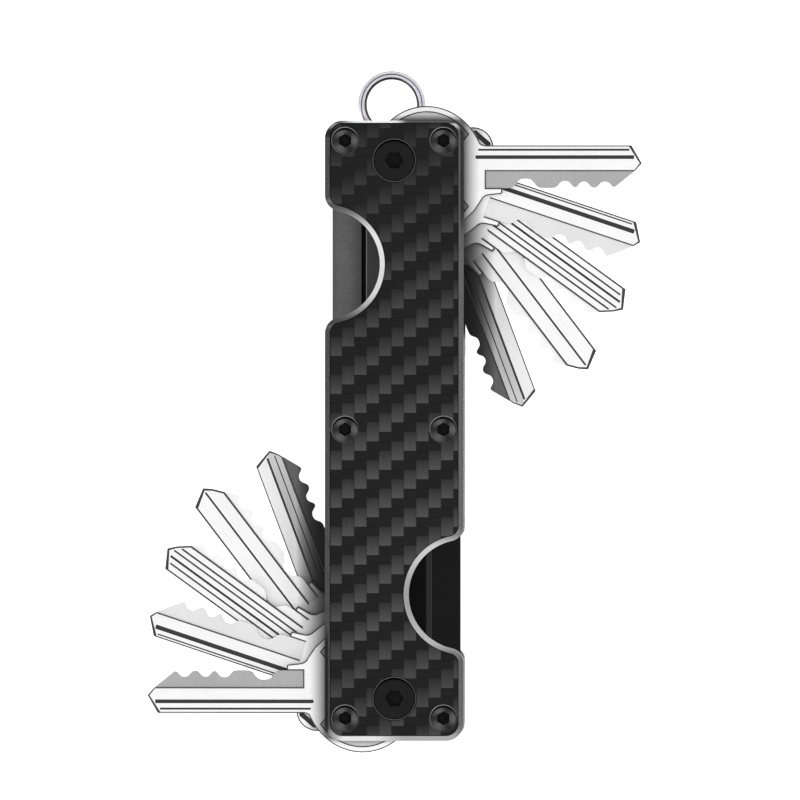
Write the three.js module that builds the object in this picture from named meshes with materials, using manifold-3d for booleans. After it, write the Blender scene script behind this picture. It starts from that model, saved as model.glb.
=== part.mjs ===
// Key organiser: two framed carbon covers clamp ten keys on two pivots, five keys in a fan at each end.
// It lies on its back: the origin is the middle of the back face, +Z goes through the thickness,
// +Y runs along the body towards the split ring. Millimetres.
import * as THREE from 'three';
import { mergeVertices } from 'three/addons/utils/BufferGeometryUtils.js';
import Module from 'manifold-3d';

const wasm = await Module();
wasm.setup();

// ---------- driving dimensions ----------
const HALF_WIDTH = 12.5;
const TOP_EDGE = 55.6;
const BOTTOM_EDGE = -56.1;
const CORNER_RADIUS = 3.2;
const RIM_WIDTH = 0.9;
const TOP_RIM_WIDTH = 0.4;
const RIM_CHAMFER = 0.6;
const COVER_GAP = 0.12;

const NOTCH_RADIUS = 9.9;
const NOTCH_Y = 29.75;
const NOTCH_FILLET = 2.8;

const COVER_THICKNESS = 1.0;
const PLATE_THICKNESS = 0.9;
const LINER_THICKNESS = 0.5;
const RING_SPACE = 2.1;
const KEEPER_THICKNESS = 0.4;

const KEYS_PER_END = 5;
const KEY_THICKNESS = 1.8;
const WASHER_THICKNESS = 0.3;
const RUNNING_GAP = 0.1;

const PIVOT_Y = 48.45;
const PIVOT_HEAD_RADIUS = 4.0;
const PIVOT_HEAD_THICKNESS = 0.85;
const BARREL_RADIUS = 2.4;
const BARREL_BORE_RADIUS = 1.7;
const PIVOT_SHANK_RADIUS = 1.5;
const PIVOT_HOLE_RADIUS = 2.6;
const PIVOT_SOCKET_FLATS = 2.8;

const COVER_SCREW_X = 8.85;
const COVER_SCREW_Y = 52.0;
const COVER_SCREW_HEAD_RADIUS = 2.4;
const COVER_SCREW_SHANK_RADIUS = 1.2;
const COVER_SCREW_SOCKET_FLATS = 2.1;
const COVER_SCREW_HOLE_RADIUS = COVER_SCREW_SHANK_RADIUS + 0.15;
const COUNTERBORE_DEPTH = 0.6;

const RING_OUTER_RADIUS = 6.1;
const RING_INNER_RADIUS = 4.53;
const RING_HEIGHT = 1.7;
const RING_X = -0.82;
const RING_Y = 58.6;
const RING_POST_RADIUS = 0.7;
const RING_POST_Y = 54.8;

// ---------- levels through the thickness ----------
const REAR_PLATE_Z = COVER_THICKNESS;
const LINER_Z = REAR_PLATE_Z + PLATE_THICKNESS;
const RING_SPACE_Z = LINER_Z + LINER_THICKNESS;
const KEEPER_Z = RING_SPACE_Z + RING_SPACE;
const STACK_Z = KEEPER_Z + KEEPER_THICKNESS;
const KEY_PITCH = WASHER_THICKNESS + KEY_THICKNESS + 2 * RUNNING_GAP;
const FRONT_PLATE_Z = STACK_Z + KEYS_PER_END * KEY_PITCH + WASHER_THICKNESS;
const FRONT_COVER_Z = FRONT_PLATE_Z + PLATE_THICKNESS;
const TOTAL_THICKNESS = FRONT_COVER_Z + COVER_THICKNESS;

// ---------- finishes ----------
function finish(color, metalness, roughness) {
  return new THREE.MeshStandardMaterial({ color, metalness, roughness });
}

const CARBON = finish(0x2b2b2d, 0.1, 0.35);
const FRAME_METAL = finish(0x9a9a9c, 1.0, 0.35);
const LINER_METAL = finish(0x5c5d60, 0.8, 0.55);
const BLACK_STEEL = finish(0x2a2a2c, 0.9, 0.4);
const KEY_NICKEL = finish(0xd6d6d8, 1.0, 0.25);
const WASHER_STEEL = finish(0xb0b0b3, 0.9, 0.3);
const RING_STEEL = finish(0xc4c3c6, 1.0, 0.2);

// ---------- shape helpers ----------
const TURN = 2 * Math.PI;
const CORNER_STEPS = 4;
const NOTCH_STEPS = 18;
const SMALL_ROUND = 12;
const ROUND = 20;
const RING_STEPS = 32;

function arc(cx, cy, radius, from, to, steps) {
  return Array.from({ length: steps + 1 }, (_, i) => {
    const angle = from + ((to - from) * i) / steps;
    return new THREE.Vector2(cx + radius * Math.cos(angle), cy + radius * Math.sin(angle));
  });
}

function circle(cx, cy, radius, steps) {
  return arc(cx, cy, radius, 0, TURN, steps).slice(0, -1);
}

// firstCorner is the direction of one corner, from +X.
function hexagon(acrossFlats, firstCorner) {
  return arc(0, 0, acrossFlats / Math.sqrt(3), firstCorner, firstCorner + TURN, 6).slice(0, -1);
}

function prism(points, z0, z1, holes = []) {
  const shape = new THREE.Shape(points);
  shape.holes = holes.map((hole) => new THREE.Path(hole));
  return new THREE.ExtrudeGeometry(shape, { depth: z1 - z0, bevelEnabled: false }).translate(0, 0, z0);
}

// Closed ring or disc turned about Z from [radius, z] pairs.
function turned(profile, steps) {
  const points = profile.map(([radius, z]) => new THREE.Vector2(radius, z));
  return new THREE.LatheGeometry(points, steps).rotateX(Math.PI / 2);
}

function solid(geometry) {
  const bare = geometry.clone();
  bare.deleteAttribute('normal');
  bare.deleteAttribute('uv');
  const welded = mergeVertices(bare, 1e-4);
  const vertProperties = new Float32Array(welded.attributes.position.array);
  const triVerts = new Uint32Array(welded.index.array);
  return new wasm.Manifold(new wasm.Mesh({ numProp: 3, vertProperties, triVerts }));
}

function geometryOf(manifold) {
  const mesh = manifold.getMesh();
  const geometry = new THREE.BufferGeometry();
  geometry.setAttribute('position', new THREE.BufferAttribute(new Float32Array(mesh.vertProperties), 3));
  geometry.setIndex(new THREE.BufferAttribute(new Uint32Array(mesh.triVerts), 1));
  geometry.computeVertexNormals();
  return geometry;
}

const cut = (base, ...tools) => tools.reduce((body, tool) => body.subtract(solid(tool)), solid(base));

const organiser = new THREE.Group();

function add(name, geometry, material) {
  const mesh = new THREE.Mesh(geometry, material);
  mesh.name = name;
  organiser.add(mesh);
  return mesh;
}

// ---------- body outline ----------
// One thumb notch, walked along the side edge. side is +1 on the right, -1 on the left, and hand is +1
// for the front, whose notches are at the upper left and lower right, -1 for the mirrored outline.
function notchPoints(side, inset, hand) {
  const cx = side * HALF_WIDTH;
  const cy = -side * hand * NOTCH_Y;
  const reach = Math.sqrt((NOTCH_RADIUS + NOTCH_FILLET) ** 2 - NOTCH_FILLET ** 2);
  const mouth = Math.atan2(reach, NOTCH_FILLET);
  const turn = side > 0 ? 0 : Math.PI;
  const filletX = side * (HALF_WIDTH - NOTCH_FILLET);
  const first = arc(filletX, cy - side * reach, NOTCH_FILLET - inset, turn, turn + mouth, CORNER_STEPS);
  const bite = arc(cx, cy, NOTCH_RADIUS + inset, turn + Math.PI + mouth, turn + Math.PI - mouth, NOTCH_STEPS);
  const last = arc(filletX, cy + side * reach, NOTCH_FILLET - inset, turn - mouth, turn, CORNER_STEPS);
  return [...first, ...bite.slice(1, -1), ...last];
}

// hand 0 leaves the notches out.
function bodyOutline(inset, topInset, hand) {
  const x = HALF_WIDTH - inset;
  const top = TOP_EDGE - topInset;
  const bottom = BOTTOM_EDGE + inset;
  const r = CORNER_RADIUS - inset;
  const quarter = Math.PI / 2;
  return [
    ...arc(x - r, bottom + r, r, -quarter, 0, CORNER_STEPS),
    ...(hand ? notchPoints(1, inset, hand) : []),
    ...arc(x - r, top - r, r, 0, quarter, CORNER_STEPS),
    ...arc(-x + r, top - r, r, quarter, 2 * quarter, CORNER_STEPS),
    ...(hand ? notchPoints(-1, inset, hand) : []),
    ...arc(-x + r, bottom + r, r, 2 * quarter, 3 * quarter, CORNER_STEPS),
  ];
}

const COVER_SCREW_PLACES = [COVER_SCREW_Y, 0, -COVER_SCREW_Y].flatMap((y) => [
  [-COVER_SCREW_X, y],
  [COVER_SCREW_X, y],
]);
const PIVOT_PLACES = { top: PIVOT_Y, bottom: -PIVOT_Y };

// ---------- frames and covers, made face up and turned over for the back ----------
// The frame is a plate with a chamfered rim that the cover drops into; z = 0 is its inner face.
function frameGeometry(hand) {
  const outline = bodyOutline(0, 0, hand);
  const height = PLATE_THICKNESS + COVER_THICKNESS;
  const shape = new THREE.Shape(outline);
  const chamfered = new THREE.ExtrudeGeometry(shape, {
    depth: height - 2 * RIM_CHAMFER,
    bevelThickness: RIM_CHAMFER,
    bevelSize: RIM_CHAMFER,
    bevelOffset: -RIM_CHAMFER,
    bevelSegments: 1,
  });
  chamfered.translate(0, 0, RIM_CHAMFER);
  const base = solid(prism(outline, 0, height - RIM_CHAMFER)).add(solid(chamfered));
  const recess = solid(prism(bodyOutline(RIM_WIDTH, TOP_RIM_WIDTH, hand), PLATE_THICKNESS, height + 1));
  const mouths = [
    ...COVER_SCREW_PLACES.map(([x, y]) => circle(x, y, COVER_SCREW_HOLE_RADIUS, SMALL_ROUND)),
    ...Object.values(PIVOT_PLACES).map((y) => circle(0, y, PIVOT_HOLE_RADIUS, ROUND)),
  ];
  const bores = mouths.map((mouth) => prism(mouth, -1, height));
  return geometryOf(bores.reduce((body, bore) => body.subtract(solid(bore)), base.subtract(recess)));
}

function coverGeometry(hand) {
  const outline = bodyOutline(RIM_WIDTH + COVER_GAP, TOP_RIM_WIDTH + COVER_GAP, hand);
  const headMouth = (y) => circle(0, y, PIVOT_HEAD_RADIUS + COVER_GAP, ROUND);
  const pivotBores = Object.values(PIVOT_PLACES).map(headMouth);
  const screwBores = (radius) => COVER_SCREW_PLACES.map(([x, y]) => circle(x, y, radius, SMALL_ROUND));
  const step = COVER_THICKNESS - COUNTERBORE_DEPTH;
  const bores = [...pivotBores, ...screwBores(COVER_SCREW_HOLE_RADIUS)];
  const sheet = prism(outline, 0, COVER_THICKNESS, bores);
  const mouths = screwBores(COVER_SCREW_HEAD_RADIUS + COVER_GAP);
  const seats = mouths.map((mouth) => prism(mouth, step, COVER_THICKNESS + 1));
  return geometryOf(cut(sheet, ...seats));
}

// Turns a piece made face up so that it faces down, keeping the ends of the body where they are.
const faceDown = (geometry) => geometry.rotateY(Math.PI);

add('front_frame', frameGeometry(1).translate(0, 0, FRONT_PLATE_Z), FRAME_METAL);
add('front_cover', coverGeometry(1).translate(0, 0, FRONT_COVER_Z), CARBON);
add('rear_frame', faceDown(frameGeometry(-1)).translate(0, 0, LINER_Z), FRAME_METAL);
add('rear_cover', faceDown(coverGeometry(-1)).translate(0, 0, REAR_PLATE_Z), CARBON);

// ---------- rear liner: a thin plate with a raised rib that carries the folded keys ----------
const LINER_INSET = 0.9;
const RIB_HALF_LENGTH = 39;
const RIB_TOP_HALF_WIDTH = 5.7;
const RIB_FOOT_HALF_WIDTH = 6.6;
const RIB_HEIGHT = RING_SPACE - 0.3;

function linerGeometry() {
  const outline = bodyOutline(LINER_INSET, LINER_INSET, 0);
  const holes = Object.values(PIVOT_PLACES).map((y) => circle(0, y, PIVOT_HOLE_RADIUS, ROUND));
  const sheet = prism(outline, 0, LINER_THICKNESS, holes);
  const top = LINER_THICKNESS + RIB_HEIGHT;
  const section = [
    new THREE.Vector2(-RIB_FOOT_HALF_WIDTH, LINER_THICKNESS / 2),
    new THREE.Vector2(RIB_FOOT_HALF_WIDTH, LINER_THICKNESS / 2),
    new THREE.Vector2(RIB_FOOT_HALF_WIDTH, LINER_THICKNESS),
    new THREE.Vector2(RIB_TOP_HALF_WIDTH, top),
    new THREE.Vector2(-RIB_TOP_HALF_WIDTH, top),
    new THREE.Vector2(-RIB_FOOT_HALF_WIDTH, LINER_THICKNESS),
  ];
  const rib = prism(section, -RIB_HALF_LENGTH, RIB_HALF_LENGTH).rotateX(Math.PI / 2);
  return geometryOf(solid(sheet).add(solid(rib)));
}

add('rear_liner', linerGeometry().translate(0, 0, LINER_Z), LINER_METAL);

// ---------- side stops: posts that tie the frames together and stop the folded keys ----------
const STOP_INNER_X = 10.3;
const STOP_OUTER_X = 11.5;
const STOP_NEAR_Y = 4;
const STOP_FAR_Y = 15.5;

function stopGeometry(side) {
  const width = STOP_OUTER_X - STOP_INNER_X;
  const x = (side * (STOP_INNER_X + STOP_OUTER_X)) / 2;
  const ends = [STOP_NEAR_Y + width / 2, STOP_FAR_Y - width / 2];
  const outline = [
    ...arc(x, Math.min(...ends.map((y) => -side * y)), width / 2, -Math.PI, 0, 8),
    ...arc(x, Math.max(...ends.map((y) => -side * y)), width / 2, 0, Math.PI, 8),
  ];
  return prism(outline, RING_SPACE_Z, FRONT_PLATE_Z);
}

add('side_stop_left', stopGeometry(-1), BLACK_STEEL);
add('side_stop_right', stopGeometry(1), BLACK_STEEL);

// ---------- cover screws: short socket screws with a dished head ----------
const COVER_SCREW_HEAD_HEIGHT = COUNTERBORE_DEPTH - 0.1;
const COVER_SCREW_LENGTH = COVER_THICKNESS - COUNTERBORE_DEPTH + PLATE_THICKNESS;

// z = 0 is the underside of the head.
function coverScrewGeometry() {
  const body = turned([
    [0, -COVER_SCREW_LENGTH],
    [COVER_SCREW_SHANK_RADIUS, -COVER_SCREW_LENGTH],
    [COVER_SCREW_SHANK_RADIUS, 0],
    [COVER_SCREW_HEAD_RADIUS, 0],
    [COVER_SCREW_HEAD_RADIUS, COVER_SCREW_HEAD_HEIGHT],
    [1.3, COVER_SCREW_HEAD_HEIGHT - 0.15],
    [0, COVER_SCREW_HEAD_HEIGHT - 0.15],
  ], SMALL_ROUND);
  return geometryOf(cut(body, prism(hexagon(COVER_SCREW_SOCKET_FLATS, TURN / 4), -0.6, 1)));
}

COVER_SCREW_PLACES.forEach(([x, y], i) => {
  const front = add(`front_cover_screw_${i + 1}`, coverScrewGeometry(), BLACK_STEEL);
  front.position.set(x, y, FRONT_COVER_Z + COVER_THICKNESS - COUNTERBORE_DEPTH);
  const rear = add(`rear_cover_screw_${i + 1}`, faceDown(coverScrewGeometry()), BLACK_STEEL);
  rear.position.set(x, y, COUNTERBORE_DEPTH);
});

// ---------- pivots: a barrel nut from the back and a screw from the front ----------
const BARREL_END_Z = FRONT_COVER_Z - 0.1;
const BARREL_BORE_DEPTH = 13;
const PIVOT_SCREW_LENGTH = 9;
const HEAD_CHAMFER = 0.15;

function barrelGeometry() {
  const headBack = REAR_PLATE_Z - PIVOT_HEAD_THICKNESS;
  const body = turned([
    [0, headBack],
    [PIVOT_HEAD_RADIUS - HEAD_CHAMFER, headBack],
    [PIVOT_HEAD_RADIUS, headBack + HEAD_CHAMFER],
    [PIVOT_HEAD_RADIUS, REAR_PLATE_Z],
    [BARREL_RADIUS, REAR_PLATE_Z],
    [BARREL_RADIUS, BARREL_END_Z],
    [BARREL_BORE_RADIUS, BARREL_END_Z],
    [BARREL_BORE_RADIUS, BARREL_END_Z - BARREL_BORE_DEPTH],
    [0, BARREL_END_Z - BARREL_BORE_DEPTH],
  ], ROUND);
  return geometryOf(cut(body, prism(hexagon(PIVOT_SOCKET_FLATS, 0), -1, headBack + 1.4)));
}

function pivotScrewGeometry() {
  const headTop = FRONT_COVER_Z + PIVOT_HEAD_THICKNESS;
  const body = turned([
    [0, FRONT_COVER_Z - PIVOT_SCREW_LENGTH],
    [PIVOT_SHANK_RADIUS, FRONT_COVER_Z - PIVOT_SCREW_LENGTH],
    [PIVOT_SHANK_RADIUS, FRONT_COVER_Z],
    [PIVOT_HEAD_RADIUS, FRONT_COVER_Z],
    [PIVOT_HEAD_RADIUS, headTop - HEAD_CHAMFER],
    [PIVOT_HEAD_RADIUS - HEAD_CHAMFER, headTop],
    [0, headTop],
  ], ROUND);
  return geometryOf(cut(body, prism(hexagon(PIVOT_SOCKET_FLATS, 0), headTop - 0.7, headTop + 1)));
}

// ---------- washers between the keys ----------
const WASHER_INNER_RADIUS = BARREL_RADIUS + 0.1;
const WASHER_OUTER_RADIUS = 4.3;

function washerGeometry(z) {
  const rim = circle(0, 0, WASHER_OUTER_RADIUS, ROUND);
  return prism(rim, z, z + WASHER_THICKNESS, [circle(0, 0, WASHER_INNER_RADIUS, ROUND)]);
}

for (const [end, y] of Object.entries(PIVOT_PLACES)) {
  add(`${end}_pivot_barrel`, barrelGeometry(), BLACK_STEEL).position.y = y;
  add(`${end}_pivot_screw`, pivotScrewGeometry(), BLACK_STEEL).position.y = y;
  for (let level = 0; level <= KEYS_PER_END; level += 1) {
    const z = FRONT_PLATE_Z - WASHER_THICKNESS - level * KEY_PITCH;
    add(`${end}_washer_${level + 1}`, washerGeometry(z), WASHER_STEEL).position.y = y;
  }
}

// ---------- split ring, its post and keeper; a plain spacer fills the same level at the other end ----------
const SPACER_RADIUS = 3.1;
const KEEPER_PIVOT_RADIUS = 4.3;
const KEEPER_TIP_RADIUS = 0.75;

function keeperGeometry() {
  const spread = Math.acos((KEEPER_PIVOT_RADIUS - KEEPER_TIP_RADIUS) / (RING_POST_Y - PIVOT_Y));
  const up = Math.PI / 2;
  const outline = [
    ...arc(RING_X, RING_POST_Y, KEEPER_TIP_RADIUS, up - spread, up + spread, 6),
    ...arc(0, PIVOT_Y, KEEPER_PIVOT_RADIUS, up + spread, up - spread + TURN, 20),
  ];
  const hole = circle(0, PIVOT_Y, WASHER_INNER_RADIUS, ROUND);
  return prism(outline, KEEPER_Z, KEEPER_Z + KEEPER_THICKNESS, [hole]);
}

function spacerGeometry(y, top) {
  const hole = circle(0, y, WASHER_INNER_RADIUS, ROUND);
  return prism(circle(0, y, SPACER_RADIUS, ROUND), RING_SPACE_Z, top, [hole]);
}

function ringGeometry() {
  const edge = 0.35;
  const half = RING_HEIGHT / 2;
  return turned([
    [RING_INNER_RADIUS, -half + edge],
    [RING_INNER_RADIUS + edge, -half],
    [RING_OUTER_RADIUS - edge, -half],
    [RING_OUTER_RADIUS, -half + edge],
    [RING_OUTER_RADIUS, half - edge],
    [RING_OUTER_RADIUS - edge, half],
    [RING_INNER_RADIUS + edge, half],
    [RING_INNER_RADIUS, half - edge],
    [RING_INNER_RADIUS, -half + edge],
  ], RING_STEPS);
}

const ringPost = circle(RING_X, RING_POST_Y, RING_POST_RADIUS, SMALL_ROUND);
add('ring_post', prism(ringPost, RING_SPACE_Z, KEEPER_Z), BLACK_STEEL);
add('ring_keeper', keeperGeometry(), LINER_METAL);
add('top_pivot_spacer', spacerGeometry(PIVOT_Y, KEEPER_Z), LINER_METAL);
add('bottom_pivot_spacer', spacerGeometry(-PIVOT_Y, STACK_Z), LINER_METAL);
add('split_ring', ringGeometry(), RING_STEEL).position.set(RING_X, RING_Y, RING_SPACE_Z + RING_SPACE / 2);

// ---------- keys ----------
// Each key lies along +X from its pivot hole with its straight spine towards +Y.
// swing is its angle below +X, spine the height of the spine over the hole, reach the tip's distance,
// and bow the middle of the round head. The second key's bow has a lobe beside its spine.
const KEYS = [
  { swing: 0, spine: 2.7, reach: 44.55, bow: [5.8, -1.8] },
  { swing: 18.5, spine: 3.28, reach: 46.65, bow: [6.2, -1.2], lobe: true },
  { swing: 36, spine: 5.67, reach: 49.1, bow: [6.2, 0.6] },
  { swing: 52.7, spine: 8.05, reach: 51.1, bow: [5.8, 2.0] },
  { swing: 69.5, spine: 9.11, reach: 49.7, bow: [5.4, 2.6] },
];
const BOW_HALF_LENGTH = 10.6;
const BOW_HALF_WIDTH = 11.6;
const BLADE_HEIGHT = 7.7;
const KEY_HOLE_RADIUS = 2.65;
const SHOULDER_FROM_TIP = 28.1;
// Bands of the blade, each as its distances below the spine.
const FRONT_GROOVE = [1.75, 2.45];
const BACK_GROOVE = [4.7, 5.4];
const MILLED_BAND = [4.55, BLADE_HEIGHT];
const GROOVE_DEPTH = 0.5;
const MILLED_DEPTH = 0.35;
const GROOVE_RUN_IN = 1.9;
// Tip, from the cut edge round to the spine: distance before the tip and distance below the spine.
const TIP = [
  [4.5, 7.2],
  [1.15, 4.55],
  [0, 3.25],
  [1.85, 0],
];
// Bitting cuts: distance from the tip, half width and depth.
const CUTS = [
  [21.0, 2.6, 1.7],
  [13.85, 1.8, 1.25],
  [10.45, 1.5, 1.2],
  [6.65, 1.65, 1.2],
];
const CUT_FLOOR = 0.3;
// Neck and stop: distance past the shoulder and height over the cut edge.
const NECK = [
  [-4.35, -6.2],
  [-2, -4.1],
  [-1.1, -2.76],
  [-0.55, -1.85],
  [0.5, -1.3],
  [2.95, -1.0],
  [2.95, 0],
];
const NECK_ANGLE = 1.65 * Math.PI;
const LOBE_FROM_BOW = [6.4, 7.8];
const LOBE_RADIUS = 3.75;
const LOBE_ANGLES = [-0.345 * Math.PI, 0.695 * Math.PI];
const LOBED_HEAD_ANGLE = 0.375 * Math.PI;
const HEAD_OVER_SPINE = 0.35;

function keyOutline({ spine, reach, bow, lobe }) {
  const point = (x, y) => new THREE.Vector2(x, y);
  const edge = spine - BLADE_HEIGHT;
  const shoulder = reach - SHOULDER_FROM_TIP;
  const bitting = CUTS.flatMap(([fromTip, half, depth]) => [
    point(reach - fromTip - half, edge),
    point(reach - fromTip - half * CUT_FLOOR, edge + depth),
    point(reach - fromTip + half * CUT_FLOOR, edge + depth),
    point(reach - fromTip + half, edge),
  ]);
  const overSpine = Math.asin((spine + HEAD_OVER_SPINE - bow[1]) / BOW_HALF_WIDTH);
  const head = arc(0, 0, 1, lobe ? LOBED_HEAD_ANGLE : overSpine, NECK_ANGLE, 26);
  const lobeX = bow[0] + LOBE_FROM_BOW[0];
  const lobeY = bow[1] + LOBE_FROM_BOW[1];
  return [
    ...head.map(({ x, y }) => point(bow[0] + x * BOW_HALF_LENGTH, bow[1] + y * BOW_HALF_WIDTH)),
    ...NECK.map(([past, over]) => point(shoulder + past, edge + over)),
    ...bitting,
    ...TIP.map(([before, below]) => point(reach - before, spine - below)),
    point(shoulder - 0.5, spine),
    ...(lobe ? arc(lobeX, lobeY, LOBE_RADIUS, ...LOBE_ANGLES, 9) : []),
  ];
}

function keyGeometry(key) {
  const { spine, reach } = key;
  const blank = prism(keyOutline(key), 0, KEY_THICKNESS, [circle(0, 0, KEY_HOLE_RADIUS, ROUND)]);
  const shoulder = reach - SHOULDER_FROM_TIP;
  // A straight cut along the blade, from start out past the tip, between two heights.
  const channel = (start, [near, far], bottom, top) => {
    const length = reach + 1 - start;
    const box = new THREE.BoxGeometry(length, far - near, top - bottom);
    return box.translate(start + length / 2, spine - (near + far) / 2, (bottom + top) / 2);
  };
  const past = KEY_THICKNESS + 1;
  return geometryOf(cut(
    blank,
    channel(shoulder - GROOVE_RUN_IN, FRONT_GROOVE, KEY_THICKNESS - GROOVE_DEPTH, past),
    channel(shoulder - GROOVE_RUN_IN, BACK_GROOVE, -1, GROOVE_DEPTH),
    channel(shoulder, MILLED_BAND, KEY_THICKNESS - MILLED_DEPTH, past),
  ));
}

KEYS.forEach((key, level) => {
  const z = FRONT_PLATE_Z - (level + 1) * KEY_PITCH + RUNNING_GAP;
  for (const [end, y] of Object.entries(PIVOT_PLACES)) {
    const mesh = add(`${end}_key_${level + 1}`, keyGeometry(key), KEY_NICKEL);
    mesh.position.set(0, y, z);
    mesh.rotation.z = THREE.MathUtils.degToRad(-key.swing) + (end === 'bottom' ? Math.PI : 0);
  }
});

export default organiser;
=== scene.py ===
import math

import bmesh
import bpy
from mathutils import Matrix, Vector
from mathutils.geometry import tessellate_polygon


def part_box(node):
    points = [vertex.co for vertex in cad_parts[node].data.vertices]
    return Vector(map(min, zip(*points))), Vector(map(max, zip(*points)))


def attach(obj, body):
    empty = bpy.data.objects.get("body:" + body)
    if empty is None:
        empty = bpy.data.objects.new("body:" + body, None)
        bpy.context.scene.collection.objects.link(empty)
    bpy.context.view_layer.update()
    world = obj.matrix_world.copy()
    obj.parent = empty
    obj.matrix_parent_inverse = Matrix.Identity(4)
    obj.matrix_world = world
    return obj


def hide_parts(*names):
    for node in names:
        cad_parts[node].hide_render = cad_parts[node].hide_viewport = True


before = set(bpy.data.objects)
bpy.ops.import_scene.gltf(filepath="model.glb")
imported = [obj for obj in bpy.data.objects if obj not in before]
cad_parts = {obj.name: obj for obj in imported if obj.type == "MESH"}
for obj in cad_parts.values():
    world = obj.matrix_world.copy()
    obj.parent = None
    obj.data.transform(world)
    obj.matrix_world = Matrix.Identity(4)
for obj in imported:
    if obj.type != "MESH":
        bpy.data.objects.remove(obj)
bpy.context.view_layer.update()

MM = 0.001
TURN = 2 * math.pi


# ---- places, read from the frame (millimetres)
def box_mm(node):
    low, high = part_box(node)
    return [v / MM for v in low], [v / MM for v in high]


def middle(node):
    low, high = box_mm(node)
    return [(a + b) / 2 for a, b in zip(low, high)]


FRAME_LOW, FRAME_HIGH = box_mm("front_frame")
HALF_WIDTH = FRAME_HIGH[0]
TOP_EDGE = FRAME_HIGH[1]
BOTTOM_EDGE = FRAME_LOW[1]
THICKNESS = FRAME_HIGH[2]
COVER_THICKNESS = box_mm("front_cover")[1][2] - box_mm("front_cover")[0][2]
PLATE_THICKNESS = THICKNESS - FRAME_LOW[2] - COVER_THICKNESS
FRONT_PLATE_Z = FRAME_LOW[2]
REAR_PLATE_TOP_Z = box_mm("rear_frame")[1][2]
PIVOT_Y = middle("top_pivot_screw")[1]
PIVOTS = {"top": PIVOT_Y, "bottom": -PIVOT_Y}
SCREW_PLACES = [middle(f"front_cover_screw_{i}")[:2] for i in range(1, 7)]

# sizes shared with the CAD parts
CORNER_RADIUS = 3.2
RIM_WIDTH = 0.9
TOP_RIM_WIDTH = 0.4
RIM_CHAMFER = 0.6
COVER_GAP = 0.12
NOTCH_RADIUS = 9.9
NOTCH_Y = 29.75
NOTCH_FILLET = 2.8
COVER_HOLE_RADIUS = 1.35
COUNTERBORE_RADIUS = 2.34
COUNTERBORE_DEPTH = 0.6
COUNTERBORE_CHAMFER = 0.12
COUNTERBORE_CHAMFER_WIDTH = 0.13
PIVOT_HOLE_RADIUS = 2.6
PIVOT_BORE_RADIUS = 4.02
PIVOT_BORE_CHAMFER = 0.04
WASHER_INNER = 2.5
WASHER_OUTER = 4.3
SPACER_OUTER = 3.1
RING_POST_RADIUS = 0.7


def put(name, data):
    """A new object that holds data, put in the scene."""
    obj = bpy.data.objects.new(name, data)
    bpy.context.scene.collection.objects.link(obj)
    return obj


# ---- camera
VIEW_WIDTH = 144.0
VIEW_X = 1.05
VIEW_Y = 5.3
CAMERA_DISTANCE = 3000.0
CAMERA_LEAN_X = 0.026
CAMERA_LEAN_Y = 0.008

camera_data = bpy.data.cameras.new("camera")
camera = put("camera", camera_data)
aim = Vector((VIEW_X, VIEW_Y, THICKNESS)) * MM
lean = Vector((CAMERA_LEAN_X, CAMERA_LEAN_Y, 1.0)).normalized()
camera.location = aim + lean * CAMERA_DISTANCE * MM
across = Vector((0, 1, 0)).cross(lean).normalized()
camera.rotation_euler = Matrix((across, lean.cross(across), lean)).transposed().to_euler()
camera_data.sensor_width = 36.0
camera_data.lens = camera_data.sensor_width * CAMERA_DISTANCE / VIEW_WIDTH
camera_data.clip_start = 0.01
camera_data.clip_end = 20.0
bpy.context.scene.camera = camera


# ---- outlines
def arc(cx, cy, radius, start, end, steps):
    span = end - start
    return [
        (cx + radius * math.cos(start + span * i / steps), cy + radius * math.sin(start + span * i / steps))
        for i in range(steps + 1)
    ]


def circle(cx, cy, radius, steps=48):
    return arc(cx, cy, radius, 0, TURN, steps)[:-1]


def hexagon(flats, corner):
    return arc(0, 0, flats / math.sqrt(3), corner, corner + TURN, 6)[:-1]


def notch_points(side, inset, hand):
    cx = side * HALF_WIDTH
    cy = -side * hand * NOTCH_Y
    reach = math.sqrt((NOTCH_RADIUS + NOTCH_FILLET) ** 2 - NOTCH_FILLET**2)
    mouth = math.atan2(reach, NOTCH_FILLET)
    turn = 0 if side > 0 else math.pi
    fillet_x = side * (HALF_WIDTH - NOTCH_FILLET)
    first = arc(fillet_x, cy - side * reach, NOTCH_FILLET - inset, turn, turn + mouth, 12)
    bite = arc(cx, cy, NOTCH_RADIUS + inset, turn + math.pi + mouth, turn + math.pi - mouth, 56)
    last = arc(fillet_x, cy + side * reach, NOTCH_FILLET - inset, turn - mouth, turn, 12)
    return first + bite[1:-1] + last


def body_outline(inset, hand, top_inset=None):
    """hand is 1 for the front plate's notches, -1 for their mirror image and 0 for none."""
    top_inset = inset * TOP_RIM_WIDTH / RIM_WIDTH if top_inset is None else top_inset
    x = HALF_WIDTH - inset
    top = TOP_EDGE - top_inset
    bottom = BOTTOM_EDGE + inset
    r = CORNER_RADIUS - inset
    q = TURN / 4
    return (
        arc(x - r, bottom + r, r, -q, 0, 12)
        + (notch_points(1, inset, hand) if hand else [])
        + arc(x - r, top - r, r, 0, q, 12)
        + arc(-x + r, top - r, r, q, 2 * q, 12)
        + (notch_points(-1, inset, hand) if hand else [])
        + arc(-x + r, bottom + r, r, 2 * q, 3 * q, 12)
    )


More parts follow.
